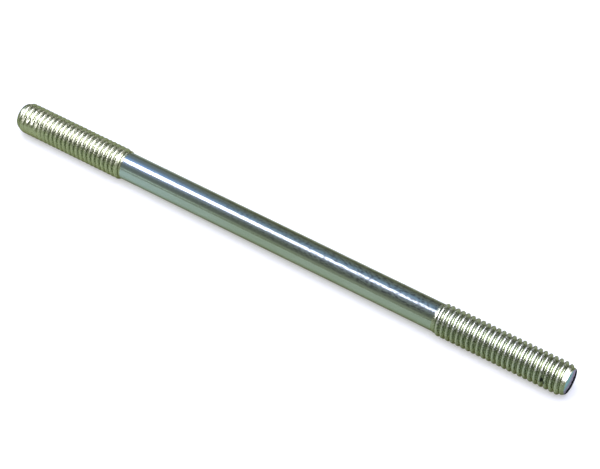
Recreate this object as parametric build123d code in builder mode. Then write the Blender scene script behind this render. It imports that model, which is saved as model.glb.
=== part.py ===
"""Cylinder stud, M6 x 1, 117.5 mm long: one rolled bar with a thread at each end and a plain shank.

The stud's axis is the X axis. X = 0 is level with the crankcase's face: the crankcase thread lies
behind it, and the shank and the thread for the cylinder-head nut point to +X. Both threads are
rolled on a bar of about the pitch diameter, so they stand proud of the shank. Each end is
chamfered and closes in a low dome. A thread is held here at its crest, as a plain barrel.
"""

from build123d import *

import os

# Driving dimensions, millimetres
overall_length = 117.5
crest_diameter = 5.92
shank_diameter = 5.22
head_thread_length = 25.9
crankcase_thread_length = 24.85
run_out_length = 0.6
end_chamfer_length = 1.2
rim_diameter = 4.76
dome_height = 0.28
rim_rounding = 0.45
shank_corner_rounding = 0.3

# Places worked out from them
crest_radius = crest_diameter / 2
shank_radius = shank_diameter / 2
rim_radius = rim_diameter / 2
crankcase_end = run_out_length - crankcase_thread_length
head_end = crankcase_end + overall_length


def thread_points(end, inward, thread_length):
    """Half-section corners of one thread, from the rim of its dome to the foot of its run-out."""
    thread_foot = end + inward * thread_length
    return [
        (end + inward * dome_height, rim_radius),
        (end + inward * (dome_height + end_chamfer_length), crest_radius),
        (thread_foot - inward * run_out_length, crest_radius),
        (thread_foot, shank_radius),
    ]


def draw_end_face(end, inward):
    """Draw one end face of the half-section: a low dome, from the axis to its rim."""
    TangentArc((end, 0), (end + inward * dome_height, rim_radius), tangent=(0, 1))


def stands_at(radius):
    """A test for the corners of the half-section that lie at this distance from the axis."""
    return lambda corner: abs(corner.Y - radius) < 1e-6


with BuildPart() as cylinder_stud:
    with BuildSketch() as half_section:
        with BuildLine():
            head_thread = thread_points(head_end, -1, head_thread_length)
            crankcase_thread = thread_points(crankcase_end, 1, crankcase_thread_length)
            Polyline(*crankcase_thread, *reversed(head_thread))
            draw_end_face(head_end, -1)
            draw_end_face(crankcase_end, 1)
            Line((crankcase_end, 0), (head_end, 0))
        make_face()
        for radius, rounding in ((rim_radius, rim_rounding), (shank_radius, shank_corner_rounding)):
            fillet(half_section.vertices().filter_by(stands_at(radius)), rounding)
    revolve(axis=Axis.X)

cylinder_stud.part.label = "cylinder_stud"

os.makedirs("parts", exist_ok=True)
export_step(cylinder_stud.part, "parts/cylinder_stud.step")
print(f"cylinder_stud: {cylinder_stud.part.volume:.1f} mm3")
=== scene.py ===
"""Blender scene of a cylinder stud: an M6 x 1 rolled thread at each end of a plain zinc-plated shank.

Everything is in metres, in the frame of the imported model. The stud's axis is the X axis and
X = 0 is level with the crankcase's face, with the head end towards +X.
"""

import logging
import math
from dataclasses import dataclass
from enum import Enum

import bmesh
import bpy
import numpy as np
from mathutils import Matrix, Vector


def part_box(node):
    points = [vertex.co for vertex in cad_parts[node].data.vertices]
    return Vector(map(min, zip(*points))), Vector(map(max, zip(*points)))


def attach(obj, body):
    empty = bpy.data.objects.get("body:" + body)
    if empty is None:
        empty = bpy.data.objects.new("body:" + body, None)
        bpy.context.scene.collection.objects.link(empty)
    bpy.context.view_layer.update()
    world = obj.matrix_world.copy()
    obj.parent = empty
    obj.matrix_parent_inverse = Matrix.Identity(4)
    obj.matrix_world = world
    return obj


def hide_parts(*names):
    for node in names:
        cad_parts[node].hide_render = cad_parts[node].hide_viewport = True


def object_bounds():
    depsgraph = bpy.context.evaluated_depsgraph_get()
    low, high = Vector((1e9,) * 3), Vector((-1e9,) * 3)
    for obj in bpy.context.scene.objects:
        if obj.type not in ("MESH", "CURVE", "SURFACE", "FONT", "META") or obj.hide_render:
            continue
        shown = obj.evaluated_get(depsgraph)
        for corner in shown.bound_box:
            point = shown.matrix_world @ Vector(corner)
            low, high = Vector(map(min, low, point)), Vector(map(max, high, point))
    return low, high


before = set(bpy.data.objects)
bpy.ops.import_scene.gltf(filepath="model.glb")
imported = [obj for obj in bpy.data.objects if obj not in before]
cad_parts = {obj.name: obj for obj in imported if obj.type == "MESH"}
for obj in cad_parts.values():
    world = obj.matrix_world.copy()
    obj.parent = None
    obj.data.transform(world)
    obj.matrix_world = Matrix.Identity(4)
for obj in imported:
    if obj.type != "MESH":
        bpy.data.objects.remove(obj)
CAD_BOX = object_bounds()

LOG = logging.getLogger("cylinder_stud")

MM = 0.001
NODE = "cylinder_stud"

Ring = np.ndarray
Colour = tuple[float, float, float]


# ---------------------------------------------------------------------------------------------
# Node helpers
# ---------------------------------------------------------------------------------------------


class Sheet:
    """A node tree being drawn: adds nodes and joins their sockets."""

    def __init__(self, tree: bpy.types.NodeTree) -> None:
        """Start on a tree, emptied of what it came with."""
        self.tree = tree
        self.tree.nodes.clear()

    def node(self, kind: str, **settings: object) -> bpy.types.Node:
        """Add a node.

        Args:
            kind: the node's type, without its ShaderNode prefix where it has one.
            settings: properties to set on it.

        Returns:
            The new node.
        """
        prefix = "" if kind.startswith("Node") else "ShaderNode"
        made = self.tree.nodes.new(prefix + kind)
        for key, value in settings.items():
            setattr(made, key, value)
        return made

    def join(self, source: bpy.types.NodeSocket, *targets: bpy.types.NodeSocket) -> None:
        """Join an output to each of the inputs."""
        for target in targets:
            self.tree.links.new(source, target)

    def feed(self, socket: bpy.types.NodeSocket, value: object) -> None:
        """Join a socket to an input, or set the input to a plain value."""
        if isinstance(value, bpy.types.NodeSocket):
            self.join(value, socket)
        else:
            socket.default_value = value

    def math(self, operation: str, *values: object, clamp: bool = False) -> bpy.types.NodeSocket:
        """Add a Math node.

        Args:
            operation: the node's operation.
            values: sockets or numbers, one for each input.
            clamp: whether the result is kept between 0 and 1.

        Returns:
            The result's socket.
        """
        made = self.node("Math", operation=operation, use_clamp=clamp)
        for socket, value in zip(made.inputs, values):
            self.feed(socket, value)
        return made.outputs[0]

    def ramp(
        self, value: bpy.types.NodeSocket, low: float, high: float, to: tuple[float, float] = (0.0, 1.0)
    ) -> bpy.types.NodeSocket:
        """Map low..high smoothly to a range, and hold it beyond.

        Args:
            value: the socket to map.
            low: the value that gives the first end of the range.
            high: the value that gives the second end.
            to: the range.

        Returns:
            The result's socket.
        """
        made = self.node("MapRange", interpolation_type="SMOOTHSTEP")
        for name, number in (
            ("From Min", low),
            ("From Max", high),
            ("To Min", to[0]),
            ("To Max", to[1]),
        ):
            made.inputs[name].default_value = number
        self.join(value, made.inputs["Value"])
        return made.outputs["Result"]

    def mix(self, factor: object, first: object, second: object) -> bpy.types.NodeSocket:
        """Mix two colours.

        Args:
            factor: how much of the second, a socket or a number.
            first: the first colour, a socket or an RGBA tuple.
            second: the second colour.

        Returns:
            The mixed colour's socket.
        """
        made = self.node("Mix", data_type="RGBA")
        self.feed(made.inputs["Factor"], factor)
        colours = [socket for socket in made.inputs if socket.type == "RGBA"]
        self.feed(colours[0], first)
        self.feed(colours[1], second)
        return next(socket for socket in made.outputs if socket.type == "RGBA")

    def noise(
        self, place: bpy.types.NodeSocket, scale: float, detail: float = 2.0, roughness: float = 0.5
    ) -> bpy.types.NodeSocket:
        """Add a noise texture and give the socket of its value."""
        made = self.node("TexNoise")
        made.inputs["Scale"].default_value = scale
        made.inputs["Detail"].default_value = detail
        made.inputs["Roughness"].default_value = roughness
        self.join(place, made.inputs["Vector"])
        return made.outputs["Fac"]


def rgba(colour: Colour) -> tuple[float, float, float, float]:
    """Give a colour its alpha of 1."""
    return (*colour, 1.0)


class Group(Sheet):
    """A shader node group being drawn, with its named inputs and outputs."""

    def __init__(self, name: str, inputs: dict[str, str], outputs: dict[str, str]) -> None:
        """Make an empty group.

        Args:
            name: the group's name.
            inputs: each input's name and socket kind.
            outputs: each output's name and socket kind.
        """
        super().__init__(bpy.data.node_groups.new(name, "ShaderNodeTree"))
        for label, kind in inputs.items():
            self.tree.interface.new_socket(label, in_out="INPUT", socket_type=f"NodeSocket{kind}")
        for label, kind in outputs.items():
            self.tree.interface.new_socket(label, in_out="OUTPUT", socket_type=f"NodeSocket{kind}")
        self.given = self.node("NodeGroupInput").outputs
        self.result = self.node("NodeGroupOutput").inputs


# ---------------------------------------------------------------------------------------------
# Effects that the finishes share
# ---------------------------------------------------------------------------------------------


def thread_depth_group() -> bpy.types.NodeTree:
    """Build the group that tells crest from groove by the distance from the stud's axis.

    Returns:
        A group whose Groove output is 0 at Crest Radius and 1 at Root Radius.
    """
    group = Group(
        "thread_depth",
        {"Place": "Vector", "Crest Radius": "Float", "Root Radius": "Float"},
        {"Groove": "Float"},
    )
    split = group.node("SeparateXYZ")
    group.join(group.given["Place"], split.inputs[0])
    squares = [group.math("MULTIPLY", split.outputs[k], split.outputs[k]) for k in (1, 2)]
    radius = group.math("SQRT", group.math("ADD", *squares))
    drop = group.math("SUBTRACT", group.given["Crest Radius"], radius)
    depth = group.math("SUBTRACT", group.given["Crest Radius"], group.given["Root Radius"])
    group.join(group.math("DIVIDE", drop, depth, clamp=True), group.result["Groove"])
    return group.tree


# The plate's marks are drawn out along the stud: their scale along X, and how many there are
DRAWN_OUT = 0.35
PATCHES_PER_METRE = 260.0
RIPPLES_PER_METRE = 900.0
GRAINS_PER_METRE = 3200.0
FLECKS_PER_METRE = 4200.0


def plating_group() -> bpy.types.NodeTree:
    """Build the group for the plated skin's unevenness.

    Returns:
        A group with a Patch mask, broad tint patches, a Fleck mask, and a Height in metres.
    """
    group = Group(
        "plating",
        {"Place": "Vector", "Ripple": "Float", "Grain": "Float"},
        {"Patch": "Float", "Fleck": "Float", "Height": "Float"},
    )
    place = group.given["Place"]
    stretch = group.node("Mapping")
    stretch.inputs["Scale"].default_value = (DRAWN_OUT, 1.0, 1.0)
    group.join(place, stretch.inputs["Vector"])
    drawn = stretch.outputs["Vector"]
    group.join(group.ramp(group.noise(drawn, PATCHES_PER_METRE, 3.0), 0.35, 0.65), group.result["Patch"])
    group.join(group.ramp(group.noise(drawn, FLECKS_PER_METRE, 3.0), 0.46, 0.62), group.result["Fleck"])
    ripple = group.math("MULTIPLY", group.noise(drawn, RIPPLES_PER_METRE), group.given["Ripple"])
    grain = group.math("MULTIPLY", group.noise(drawn, GRAINS_PER_METRE), group.given["Grain"])
    group.join(group.math("ADD", ripple, grain), group.result["Height"])
    return group.tree


# What the plate reflects at a glancing angle, and the black of a speck of dirt, of the painted shade on
# the end faces and of the painted flecks along the top
EDGE_TINT: Colour = (0.55, 0.52, 0.42)
DIRT_AND_SHADE_COLOUR: Colour = (0.015, 0.02, 0.018)

# Where along the stud its colour turns from the crankcase end's to the head end's
FAR_COLOUR_ENDS = 0.035
FAR_COLOUR_FULL = -0.005


@dataclass(frozen=True)
class PaintedStripeFlecks:
    """Dark flecks painted along the top of the bar, where the highlight stripe falls, denser towards the
    head end: painted shade that breaks the stripe up.
    """

    amount: float
    least_share: float = 0.15
    least_at: float = 0.0
    most_at: float = 55.0 * MM
    low: float = 1.4 * MM
    high: float = 1.9 * MM

    def lay(
        self, sheet: Sheet, split: bpy.types.Node, fleck: bpy.types.NodeSocket
    ) -> bpy.types.NodeSocket:
        """Work out how far the painted flecks cover the plate.

        Args:
            sheet: the material's tree.
            split: the node that gives X, Y and Z.
            fleck: the mask of all flecks.

        Returns:
            The socket of the cover, from 0 to 1.
        """
        span = (self.amount * self.least_share, self.amount)
        along = sheet.ramp(split.outputs["X"], self.least_at, self.most_at, span)
        on_top = sheet.ramp(split.outputs["Z"], self.low, self.high)
        return sheet.math("MULTIPLY", sheet.math("MULTIPLY", fleck, along), on_top)


@dataclass(frozen=True)
class DirtSpeck:
    """One ragged speck of dirt between the threads."""

    place: tuple[float, float, float]
    amount: float = 0.9
    inner: float = 0.6 * MM
    outer: float = 0.95 * MM
    raggedness: float = 0.5 * MM
    notches_per_metre: float = 2200.0

    def lay(self, sheet: Sheet, place: bpy.types.NodeSocket) -> bpy.types.NodeSocket:
        """Work out how far the speck covers the plate around its place."""
        away = sheet.node("VectorMath", operation="DISTANCE")
        sheet.join(place, away.inputs[0])
        away.inputs[1].default_value = self.place
        notches = sheet.noise(place, self.notches_per_metre)
        uneven = sheet.math("MULTIPLY_ADD", notches, self.raggedness, away.outputs["Value"])
        return sheet.ramp(uneven, self.outer, self.inner, (0.0, self.amount))


@dataclass(frozen=True)
class PaintedEndShade:
    """Painted shade: a ragged black patch along the side of an end face turned away from the camera, and
    a painted cold reflection along the side turned towards it.
    """

    amount: float = 0.95
    toward_y: float = 0.626
    toward_z: float = -0.78
    begins: float = 0.3 * MM
    full: float = 0.9 * MM
    raggedness: float = 1.6 * MM
    notches_per_metre: float = 1800.0
    painted_reflection_begins: float = -0.9 * MM
    painted_reflection_full: float = -1.7 * MM
    painted_reflection_colour: Colour = (0.17, 0.34, 0.32)

    def lay(
        self, sheet: Sheet, place: bpy.types.NodeSocket, split: bpy.types.Node
    ) -> tuple[bpy.types.NodeSocket, bpy.types.NodeSocket]:
        """Work out how far the painted shade and the painted cold reflection cover the face.

        Args:
            sheet: the material's tree.
            place: the place on the stud.
            split: the node that gives the place's X, Y and Z.

        Returns:
            The sockets of the painted shade's cover and of the painted reflection's.
        """
        sideways = sheet.math("MULTIPLY", split.outputs["Z"], self.toward_z)
        sideways = sheet.math("MULTIPLY_ADD", split.outputs["Y"], self.toward_y, sideways)
        notches = sheet.noise(place, self.notches_per_metre, 3.0)
        ragged = sheet.math("MULTIPLY_ADD", notches, self.raggedness, sideways)
        end_shade = sheet.ramp(ragged, self.begins, self.full, (0.0, self.amount))
        return end_shade, sheet.ramp(sideways, self.painted_reflection_begins, self.painted_reflection_full)


@dataclass(frozen=True)
class ZincFinish:
    """Bright zinc plate with a thin passivation film, for one kind of surface on the stud."""

    name: str
    bare: Colour
    film: Colour
    far_tint: Colour
    roughness: float
    ripple: float
    grain: float
    fleck_roughness: float = 1.5
    # The colour and amount of painted shade that darkens the thread towards its roots
    groove: Colour = (0.0, 0.0, 0.0)
    groove_shade_amount: float = 0.0
    # Painted shade: dark flecks along the top that break up the highlight stripe
    painted_flecks: PaintedStripeFlecks | None = None
    speck: DirtSpeck | None = None
    # Painted shade and a painted cold reflection on an end face
    end_shade: PaintedEndShade | None = None

    def plate_colour(
        self,
        sheet: Sheet,
        split: bpy.types.Node,
        patch: bpy.types.NodeSocket,
        groove: bpy.types.NodeSocket,
    ) -> bpy.types.NodeSocket:
        """Colour the clean plate: its film in patches, its far end, and painted shade in its grooves.

        Args:
            sheet: the material's tree.
            split: the node that gives X, Y and Z.
            patch: the mask of the film's patches.
            groove: how deep a place lies in the thread, from 0 to 1.

        Returns:
            The colour's socket.
        """
        colour = sheet.mix(patch, rgba(self.bare), rgba(self.film))
        far = sheet.ramp(split.outputs["X"], FAR_COLOUR_ENDS, FAR_COLOUR_FULL)
        colour = sheet.mix(far, colour, rgba(self.far_tint))
        # Painted shade: the deeper a place lies in the thread, the darker its colour
        deep = sheet.math("MULTIPLY", groove, self.groove_shade_amount, clamp=True)
        return sheet.mix(deep, colour, rgba(self.groove))

    def material(
        self, thread: "ThreadForm", groups: dict[str, bpy.types.NodeTree]
    ) -> bpy.types.Material:
        """Build the material.

        Args:
            thread: the thread, for the radii of its crest and root.
            groups: the shared node groups by name.

        Returns:
            The material.
        """
        made = bpy.data.materials.new(self.name)
        made.use_nodes = True
        sheet = Sheet(made.node_tree)
        place = sheet.node("TexCoord").outputs["Object"]
        split = sheet.node("SeparateXYZ")
        sheet.join(place, split.inputs[0])
        depth = sheet.node("Group", node_tree=groups["thread_depth"])
        sheet.join(place, depth.inputs["Place"])
        depth.inputs["Crest Radius"].default_value = thread.crest_radius
        depth.inputs["Root Radius"].default_value = thread.root_radius
        skin = sheet.node("Group", node_tree=groups["plating"])
        sheet.join(place, skin.inputs["Place"])
        skin.inputs["Ripple"].default_value = self.ripple
        skin.inputs["Grain"].default_value = self.grain

        colour = self.plate_colour(sheet, split, skin.outputs["Patch"], depth.outputs["Groove"])
        edge: bpy.types.NodeSocket | tuple[float, ...] = rgba(EDGE_TINT)
        # Dark flecks painted along the top, where the highlight stripe falls: painted shade that breaks
        # the stripe up
        if self.painted_flecks:
            cover = self.painted_flecks.lay(sheet, split, skin.outputs["Fleck"])
            colour = sheet.mix(cover, colour, rgba(DIRT_AND_SHADE_COLOUR))
        if self.speck:
            colour = sheet.mix(self.speck.lay(sheet, place), colour, rgba(DIRT_AND_SHADE_COLOUR))
        # Painted shade on the end face's far side darkens its colour and its glancing tint; a painted
        # cold reflection tints the near side
        if self.end_shade:
            cover, painted_reflection = self.end_shade.lay(sheet, place, split)
            colour = sheet.mix(cover, colour, rgba(DIRT_AND_SHADE_COLOUR))
            colour = sheet.mix(painted_reflection, colour, rgba(self.end_shade.painted_reflection_colour))
            edge = sheet.mix(cover, edge, rgba(DIRT_AND_SHADE_COLOUR))

        rough_span = (self.roughness, self.roughness * self.fleck_roughness)
        bump = sheet.node("Bump")
        bump.inputs["Distance"].default_value = 1.0
        sheet.join(skin.outputs["Height"], bump.inputs["Height"])
        metal = sheet.node("BsdfPrincipled")
        metal.inputs["Metallic"].default_value = 1.0
        sheet.feed(metal.inputs["Specular Tint"], edge)
        sheet.join(colour, metal.inputs["Base Color"])
        sheet.join(sheet.ramp(skin.outputs["Fleck"], 0.0, 1.0, rough_span), metal.inputs["Roughness"])
        sheet.join(bump.outputs["Normal"], metal.inputs["Normal"])
        out = sheet.node("OutputMaterial")
        sheet.join(metal.outputs["BSDF"], out.inputs["Surface"])
        return made


SHANK_FINISH = ZincFinish(
    name="zinc_on_shank",
    bare=(0.235, 0.300, 0.215),
    film=(0.220, 0.285, 0.195),
    far_tint=(0.268, 0.365, 0.315),
    roughness=0.14,
    ripple=2.0e-6,
    grain=2.0e-6,
    # Dark flecks painted along the top of the shank: painted shade that breaks up the highlight stripe
    painted_flecks=PaintedStripeFlecks(amount=0.6),
)
THREAD_FINISH = ZincFinish(
    name="zinc_on_thread",
    bare=(0.27, 0.325, 0.205),
    film=(0.245, 0.295, 0.175),
    # Painted shade that darkens the thread towards its roots
    groove=(0.13, 0.175, 0.07),
    groove_shade_amount=0.7,
    far_tint=(0.25, 0.30, 0.155),
    roughness=0.26,
    ripple=2.0e-6,
    grain=0.5e-6,
    speck=DirtSpeck(place=(89.1 * MM, -2.80 * MM, 0.34 * MM)),
)
END_FINISH = ZincFinish(
    name="zinc_on_end",
    bare=(0.19, 0.22, 0.26),
    film=(0.22, 0.22, 0.29),
    far_tint=(0.19, 0.22, 0.26),
    roughness=0.3,
    ripple=4.0e-6,
    grain=3.0e-6,
    # Painted shade and a painted cold reflection on the end faces, by their side away from or towards
    # the camera
    end_shade=PaintedEndShade(),
)


class Skin(Enum):
    """The finishes, by their place in the stud's material slots."""

    SHANK = 0
    THREAD = 1
    END = 2


FINISHES = {Skin.SHANK: SHANK_FINISH, Skin.THREAD: THREAD_FINISH, Skin.END: END_FINISH}


# ---------------------------------------------------------------------------------------------
# The stud
# ---------------------------------------------------------------------------------------------


@dataclass(frozen=True)
class ThreadForm:
    """The section of a 60 degree metric thread as rolling leaves it, right-handed about +X."""

    pitch: float = 1.0 * MM
    crest_radius: float = 2.96 * MM
    root_radius: float = 2.43 * MM
    root_rounding: float = 0.13 * MM
    crest_rounding: float = 0.13 * MM
    root_steps: int = 2
    crest_steps: int = 3

    def section(self) -> list[tuple[float, float]]:
        """Work out one turn's section, from the middle of a crest to just before the next.

        Returns:
            (distance along the axis, radius) pairs.
        """
        lean = math.radians(30.0)
        turn = math.radians(60.0)
        half = self.pitch / 2
        root = [
            (
                half - self.root_rounding * math.sin(turn * k / self.root_steps),
                self.root_radius + self.root_rounding * (1 - math.cos(turn * k / self.root_steps)),
            )
            for k in range(self.root_steps, -1, -1)
        ]
        foot_x, foot_r = root[0]
        top_x = foot_x - (self.crest_radius - foot_r) * math.tan(lean)
        setback = self.crest_rounding * math.tan(math.radians(30.0))
        crest = [
            (
                top_x - setback + self.crest_rounding * math.sin(turn * k / self.crest_steps),
                self.crest_radius - self.crest_rounding * (1 - math.cos(turn * k / self.crest_steps)),
            )
            for k in range(self.crest_steps + 1)
        ]
        rising = [*crest, *root]
        falling = [(self.pitch - x, r) for x, r in reversed(rising[:-1])]
        return [(0.0, self.crest_radius), *rising, *falling]


@dataclass(frozen=True)
class ClosedPatch:
    """A stretch of thread on one side of the stud where the grooves are nearly closed up."""

    from_end: float = 3.6 * MM
    half_length: float = 4.6 * MM
    turn: float = math.radians(200.0)
    half_turn: float = math.radians(72.0)
    amount: float = 0.95
    sharpness: float = 1.8

    def closing(self, into: np.ndarray, angles: np.ndarray) -> np.ndarray:
        """Give how far the grooves are closed, from 0 to 1.

        Args:
            into: distances from the end of the stud.
            angles: angles about its axis.

        Returns:
            The closing at each point.
        """
        along = np.clip(1 - np.abs(into - self.from_end) / self.half_length, 0, 1)
        about = np.clip(1 - np.abs(angles - self.turn) / self.half_turn, 0, 1)
        share = np.clip(along * about * self.sharpness, 0, 1)
        return self.amount * share * share * (3 - 2 * share)


# Shares of the rim's radius at which a dome has its rings
DOME_SHARES = (1.0, 0.94, 0.88, 0.8, 0.65, 0.5, 0.33, 0.17, 0.0)


@dataclass
class Stud:
    """The stud: two helical threads, their chamfered and domed ends, and the shank between."""

    form: ThreadForm
    patch: ClosedPatch
    head_thread_length: float = 25.9 * MM
    crankcase_thread_length: float = 24.85 * MM
    run_out: float = 0.6 * MM
    run_out_in_thread: float = 0.4 * MM
    shank_radius: float = 2.61 * MM
    chamfer: float = 1.2 * MM
    rim_radius: float = 2.38 * MM
    dome_height: float = 0.28 * MM
    rim_softness: float = 0.3 * MM
    chamfer_softness: float = 0.08 * MM
    around: int = 104
    shank_step: float = 2.0 * MM

    def __post_init__(self) -> None:
        """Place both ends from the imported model's box."""
        low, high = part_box(NODE)
        self.crankcase_end = low.x
        self.head_end = high.x
        self.crankcase_foot = self.crankcase_end + self.crankcase_thread_length
        self.head_foot = self.head_end - self.head_thread_length
        self.angles = 2 * math.pi * np.arange(self.around) / self.around

    def ring(self, x: float | np.ndarray, radius: float | np.ndarray) -> Ring:
        """Give the points of one ring of the skin, one for each angle."""
        x = np.broadcast_to(x, self.angles.shape)
        return np.column_stack([x, radius * np.cos(self.angles), radius * np.sin(self.angles)])

    @staticmethod
    def soft_least(one: np.ndarray, other: np.ndarray, softness: float) -> np.ndarray:
        """Give the lesser of two radii, with a rounded corner where they cross."""
        gap = np.clip(1 - np.abs(one - other) / softness, 0, 1)
        return np.minimum(one, other) - gap * gap * softness / 4

    def end_radius(self, into: np.ndarray | float) -> np.ndarray:
        """Shape an end: its dome, its rounded rim and its chamfer.

        Args:
            into: distances from the tip of the dome.

        Returns:
            The radius at each distance.
        """
        ball = (self.rim_radius**2 + self.dome_height**2) / (2 * self.dome_height)
        dome = np.sqrt(np.clip(into * (2 * ball - into), 0, None))
        slope = (self.form.crest_radius - self.rim_radius) / self.chamfer
        cone = self.rim_radius + slope * (into - self.dome_height)
        rounded = self.soft_least(dome, cone, self.rim_softness)
        return np.where(np.asarray(into) > 3 * self.dome_height, cone, rounded)

    def thread_radius(self, x: np.ndarray, full: float, end: float, foot: float) -> np.ndarray:
        """Shape a thread's radius near its two ends.

        Args:
            x: places along the axis, one for each angle.
            full: the radius that the full thread has along this helix.
            end: where the stud ends.
            foot: where the run-out meets the shank.

        Returns:
            The radius at each place: chamfered towards the end, fading into the shank at the foot.
        """
        from_end = np.abs(x - end)
        if end == self.crankcase_end:
            closing = self.patch.closing(from_end, self.angles)
            full = full + (self.form.crest_radius - full) * closing
        share = np.clip(np.abs(x - foot) / (self.run_out + self.run_out_in_thread), 0, 1)
        share = share * share * (3 - 2 * share)
        radius = self.shank_radius + (full - self.shank_radius) * share
        return self.soft_least(radius, self.end_radius(from_end), self.chamfer_softness)

    def add_thread(self, bm: bmesh.types.BMesh, end: float, foot: float) -> None:
        """Skin one thread with rings that follow its helix, from the rim of its dome to its foot.

        Args:
            bm: the mesh.
            end: where the stud ends.
            foot: where the run-out meets the shank.
        """
        rim = end + math.copysign(self.dome_height, foot - end)
        low, high = sorted((rim, foot))
        pitch = self.form.pitch
        section = self.form.section()
        first = math.floor(low / pitch) - 1
        turns = math.ceil((high - low) / pitch) + 2
        advance = pitch * self.angles / (2 * math.pi)
        rings = []
        for turn in range(turns + 1):
            for along, full in section:
                x = np.clip((first + turn) * pitch + along + advance, low, high)
                radius = self.thread_radius(x, full, end, foot)
                radius = np.where(x == rim, self.end_radius(self.dome_height), radius)
                rings.append([bm.verts.new(p) for p in self.ring(x, radius)])
        step = len(section)
        for k in range(len(rings) - 1):
            for i in range(self.around - 1):
                self.add_quad(bm, (rings[k][i], rings[k][i + 1], rings[k + 1][i + 1], rings[k + 1][i]))
        for k in range(len(rings) - 1 - step):
            a, b = rings[k + step], rings[k + step + 1]
            self.add_quad(bm, (rings[k][-1], a[0], b[0], rings[k + 1][-1]))

    @staticmethod
    def add_quad(bm: bmesh.types.BMesh, corners: tuple[bmesh.types.BMVert, ...]) -> None:
        """Add a face of a thread, unless all its corners stand at one place along the axis."""
        places = {round(c.co.x / (1e-6 * MM)) for c in corners}
        if len(places) > 1:
            face = bm.faces.new(corners)
            face.material_index = Skin.THREAD.value
            face.smooth = True

    def add_rings(self, bm: bmesh.types.BMesh, sections: list[tuple[float, float]], skin: Skin) -> None:
        """Skin a run of plain rings.

        Args:
            bm: the mesh.
            sections: (place along the axis, radius) of each ring, with a radius of 0 for a pole.
            skin: which finish its faces take.
        """
        rings = [[bm.verts.new(p) for p in self.ring(x, r)] for x, r in sections]
        for near, far in zip(rings, rings[1:]):
            for i in range(self.around):
                j = (i + 1) % self.around
                face = bm.faces.new((near[i], near[j], far[j], far[i]))
                face.material_index = skin.value
                face.smooth = True

    def dome_sections(self, end: float, inward: float) -> list[tuple[float, float]]:
        """Work out the rings of an end's dome.

        Args:
            end: where the stud ends.
            inward: +1 or -1, the way along X into the stud.

        Returns:
            (place, radius) of each ring, from the rim to the tip.
        """
        depths = [self.dome_height * share * share for share in DOME_SHARES]
        return [(end + inward * depth, float(self.end_radius(depth))) for depth in depths]

    def build(self) -> bpy.types.Object:
        """Build the whole stud as one closed mesh.

        Returns:
            The stud's object.
        """
        bm = bmesh.new()
        self.add_thread(bm, self.crankcase_end, self.crankcase_foot)
        self.add_thread(bm, self.head_end, self.head_foot)
        steps = round((self.head_foot - self.crankcase_foot) / self.shank_step)
        places = np.linspace(self.crankcase_foot, self.head_foot, steps + 1)
        self.add_rings(bm, [(float(x), self.shank_radius) for x in places], Skin.SHANK)
        self.add_rings(bm, self.dome_sections(self.crankcase_end, 1.0), Skin.END)
        self.add_rings(bm, self.dome_sections(self.head_end, -1.0), Skin.END)
        bmesh.ops.remove_doubles(bm, verts=bm.verts, dist=1e-4 * MM)
        bmesh.ops.recalc_face_normals(bm, faces=bm.faces)
        mesh = bpy.data.meshes.new("stud")
        bm.to_mesh(mesh)
        bm.free()
        made = bpy.data.objects.new("stud", mesh)
        bpy.context.collection.objects.link(made)
        return made

    def dress(self, made: bpy.types.Object) -> None:
        """Give the stud its finishes, in the order of its material slots."""
        groups = {"thread_depth": thread_depth_group(), "plating": plating_group()}
        for skin in Skin:
            made.data.materials.append(FINISHES[skin].material(self.form, groups))


# ---------------------------------------------------------------------------------------------
# The studio
# ---------------------------------------------------------------------------------------------


@dataclass(frozen=True)
class SoftLamp:
    """A rectangular lamp: its place, what it points at, its size, power, colour and what it lights."""

    name: str
    place: tuple[float, float, float]
    aim: tuple[float, float, float]
    wide: float
    tall: float
    power: float
    colour: Colour
    lights_floor: bool = True
    shows_in_metal: bool = True


@dataclass(frozen=True)
class StripPanels:
    """A row of panels overhead that draws the stripe along the metal.

    Between the start and the end of the taper they get narrower and dimmer towards the head end.
    """

    count: int = 9
    start: float = -0.66
    panel: float = 0.08
    taper_start: float = -0.31
    taper_end: float = -0.08
    across: float = -0.061
    height: float = 0.5
    first_width: float = 0.235
    last_width: float = 0.125
    first_radiance: float = 17.0
    last_radiance: float = 4.6
    colour: Colour = (0.70, 0.58, 1.0)

    def lamps(self) -> list[SoftLamp]:
        """Make the lamps, from the crankcase end to the head end."""
        made = []
        for k in range(self.count):
            x = self.start + self.panel * (k + 0.5)
            share = min(max((x - self.taper_start) / (self.taper_end - self.taper_start), 0.0), 1.0)
            width = self.first_width + (self.last_width - self.first_width) * share
            radiance = self.first_radiance + (self.last_radiance - self.first_radiance) * share
            made.append(
                SoftLamp(
                    name=f"strip_panel_{k + 1}",
                    place=(x, self.across, self.height),
                    aim=(x, self.across, 0.0),
                    wide=self.panel,
                    tall=width,
                    power=radiance * math.pi * self.panel * width,
                    colour=self.colour,
                    lights_floor=False,
                )
            )
        return made


# The ceiling light lights the floor only. The others show in the metal only: the box beyond the
# head end and the panel over it in the threads' flanks, and the low strip along the shank's front.
LAMPS = (
    SoftLamp(
        name="ceiling",
        place=(-0.1, -0.067, 0.6),
        aim=(-0.1, -0.067, 0.0),
        wide=0.9,
        tall=0.7,
        power=5.2,
        colour=(0.98, 0.99, 1.0),
        shows_in_metal=False,
    ),
    SoftLamp(
        name="box_beyond_head_end",
        place=(0.40, 0.0, 0.40),
        aim=(0.04, 0.0, 0.0),
        wide=0.70,
        tall=0.40,
        power=28.0,
        colour=(0.70, 0.56, 1.0),
        lights_floor=False,
    ),
    SoftLamp(
        name="panel_over_head_end",
        place=(0.27, -0.12, 0.5),
        aim=(0.27, -0.12, 0.0),
        wide=0.50,
        tall=0.24,
        power=12.0,
        colour=(0.70, 0.58, 1.0),
        lights_floor=False,
    ),
    SoftLamp(
        name="low_strip_left",
        place=(-0.62, -0.62, 0.135),
        aim=(-0.62, 0.0, 0.0),
        wide=0.66,
        tall=0.05,
        power=0.10,
        colour=(0.95, 0.95, 1.0),
        lights_floor=False,
    ),
    *StripPanels().lamps(),
)


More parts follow.
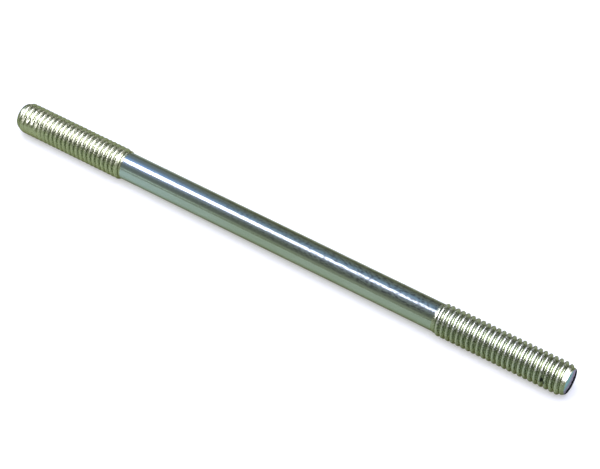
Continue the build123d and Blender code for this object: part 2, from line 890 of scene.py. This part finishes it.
@dataclass
class Studio:
    """A pale floor, soft lamps, a soft surround and the camera.

    The floor glows a little where it is seen, and less where the metal reflects it.
    """

    floor_size: float = 6.0
    floor_colour: Colour = (0.6, 0.6, 0.6)
    floor_glow: Colour = (0.42, 0.42, 0.42)
    floor_glow_in_metal: Colour = (0.20, 0.19, 0.06)
    azimuth: float = 34.0
    elevation: float = 45.9
    distance: float = 344.8 * MM
    lens: float = 117.0
    sensor: float = 36.0
    aim_along: float = 38.6 * MM
    aim_right: float = 0.21 * MM
    aim_up: float = 2.635 * MM

    def add_floor(self, height: float) -> None:
        """Lay the floor under the stud at the given height."""
        half = self.floor_size / 2
        mesh = bpy.data.meshes.new("floor")
        corners = ((-half, -half), (half, -half), (half, half), (-half, half))
        mesh.from_pydata([(x, y, height) for x, y in corners], [], [(0, 1, 2, 3)])
        floor = bpy.data.objects.new("floor", mesh)
        bpy.context.collection.objects.link(floor)
        made = bpy.data.materials.new("pale_floor")
        made.use_nodes = True
        sheet = Sheet(made.node_tree)
        paint = sheet.node("BsdfDiffuse")
        paint.inputs["Color"].default_value = rgba(self.floor_colour)
        path = sheet.node("LightPath")
        seen = sheet.math("MAXIMUM", path.outputs["Is Camera Ray"], path.outputs["Is Glossy Ray"])
        seen = sheet.math("MAXIMUM", seen, path.outputs["Is Transmission Ray"])
        glow = sheet.node("Emission")
        glows = (rgba(self.floor_glow_in_metal), rgba(self.floor_glow))
        sheet.join(sheet.mix(path.outputs["Is Camera Ray"], *glows), glow.inputs["Color"])
        sheet.join(seen, glow.inputs["Strength"])
        both = sheet.node("AddShader")
        sheet.join(paint.outputs[0], both.inputs[0])
        sheet.join(glow.outputs[0], both.inputs[1])
        sheet.join(both.outputs[0], sheet.node("OutputMaterial").inputs["Surface"])
        mesh.materials.append(made)

    def add_lamp(self, lamp: SoftLamp) -> None:
        """Hang one soft lamp, turned to what it points at."""
        light = bpy.data.lights.new(lamp.name, "AREA")
        light.shape = "RECTANGLE"
        light.size = lamp.wide
        light.size_y = lamp.tall
        light.energy = lamp.power
        light.color = lamp.colour
        made = bpy.data.objects.new(lamp.name, light)
        made.location = lamp.place
        away = Vector(lamp.place) - Vector(lamp.aim)
        made.rotation_euler = away.to_track_quat("Z", "Y").to_euler()
        made.visible_diffuse = lamp.lights_floor
        made.visible_glossy = lamp.shows_in_metal
        bpy.context.collection.objects.link(made)

    def add_surround(self) -> None:
        """Light the room with a soft sweep that runs from the front horizon over to the back."""
        world = bpy.data.worlds.new("surround")
        bpy.context.scene.world = world
        world.use_nodes = True
        sheet = Sheet(world.node_tree)
        split = sheet.node("SeparateXYZ")
        sheet.join(sheet.node("TexCoord").outputs["Generated"], split.inputs[0])
        toward_front = sheet.math("MULTIPLY", split.outputs["Y"], -1.0)
        turn = sheet.math("ARCTAN2", split.outputs["Z"], toward_front)
        share = sheet.math("DIVIDE", turn, math.pi, clamp=True)
        sweep = sheet.node("ValToRGB")
        stops = sweep.color_ramp.elements
        while len(stops) > 1:
            stops.remove(stops[-1])
        for k, (degrees, colour) in enumerate(SWEEP):
            stop = stops[0] if k == 0 else stops.new(degrees / 180.0)
            stop.position = degrees / 180.0
            stop.color = rgba(colour)
        sheet.join(share, sweep.inputs[0])
        path = sheet.node("LightPath")
        shown = sheet.mix(path.outputs["Is Camera Ray"], sweep.outputs["Color"], rgba((1.0, 1.0, 1.0)))
        glow = sheet.node("Background")
        sheet.join(shown, glow.inputs["Color"])
        sheet.join(glow.outputs[0], sheet.node("OutputWorld").inputs["Surface"])

    def add_camera(self) -> None:
        """Set the camera up to look down on the stud along its slant."""
        turn, tip = math.radians(self.azimuth), math.radians(self.elevation)
        right = Vector((math.cos(turn), math.sin(turn), 0.0))
        back = Vector((math.sin(turn) * math.cos(tip), -math.cos(turn) * math.cos(tip), math.sin(tip)))
        up = back.cross(right)
        aim = Vector((self.aim_along, 0.0, 0.0)) + right * self.aim_right + up * self.aim_up
        data = bpy.data.cameras.new("camera")
        data.lens = self.lens
        data.sensor_width = self.sensor
        data.clip_start = 0.01
        camera = bpy.data.objects.new("camera", data)
        camera.location = aim + back * self.distance
        camera.rotation_euler = back.to_track_quat("Z", "Y").to_euler()
        bpy.context.collection.objects.link(camera)
        bpy.context.scene.camera = camera

    def build(self, floor_height: float) -> None:
        """Put up the whole studio."""
        self.add_floor(floor_height)
        for lamp in LAMPS:
            self.add_lamp(lamp)
        self.add_surround()
        self.add_camera()
        bpy.context.scene.view_settings.view_transform = "Standard"


# Degrees up from the front horizon, over the top and down to the back one, and the light there
SWEEP: tuple[tuple[float, Colour], ...] = (
    (0.0, (0.60, 0.58, 0.54)),
    (5.0, (0.62, 0.61, 0.56)),
    (13.0, (0.72, 0.69, 0.68)),
    (21.0, (0.48, 0.45, 0.46)),
    (29.0, (0.36, 0.35, 0.36)),
    (44.0, (0.37, 0.36, 0.40)),
    (52.0, (0.48, 0.47, 0.62)),
    (60.0, (0.60, 0.58, 0.85)),
    (95.0, (0.80, 0.95, 1.70)),
    (107.0, (0.70, 0.88, 1.75)),
    (116.0, (0.55, 0.66, 1.15)),
    (125.0, (0.46, 0.50, 0.78)),
    (134.0, (0.44, 0.45, 0.60)),
    (144.0, (0.52, 0.50, 0.60)),
    (156.0, (0.40, 0.37, 0.40)),
    (169.0, (0.40, 0.35, 0.32)),
    (180.0, (0.40, 0.36, 0.32)),
)


def main() -> None:
    """Build the stud and its studio, and log the stud's triangle count."""
    logging.basicConfig(level=logging.INFO, format="%(name)s: %(message)s")
    stud = Stud(ThreadForm(), ClosedPatch())
    made = stud.build()
    stud.dress(made)
    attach(made, "root")
    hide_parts(NODE)
    faces = sum(len(face.vertices) - 2 for face in made.data.polygons)
    LOG.info("stud: one piece, %d triangles", faces)
    Studio().build(CAD_BOX[0].z)


if __name__ == "__main__":
    main()
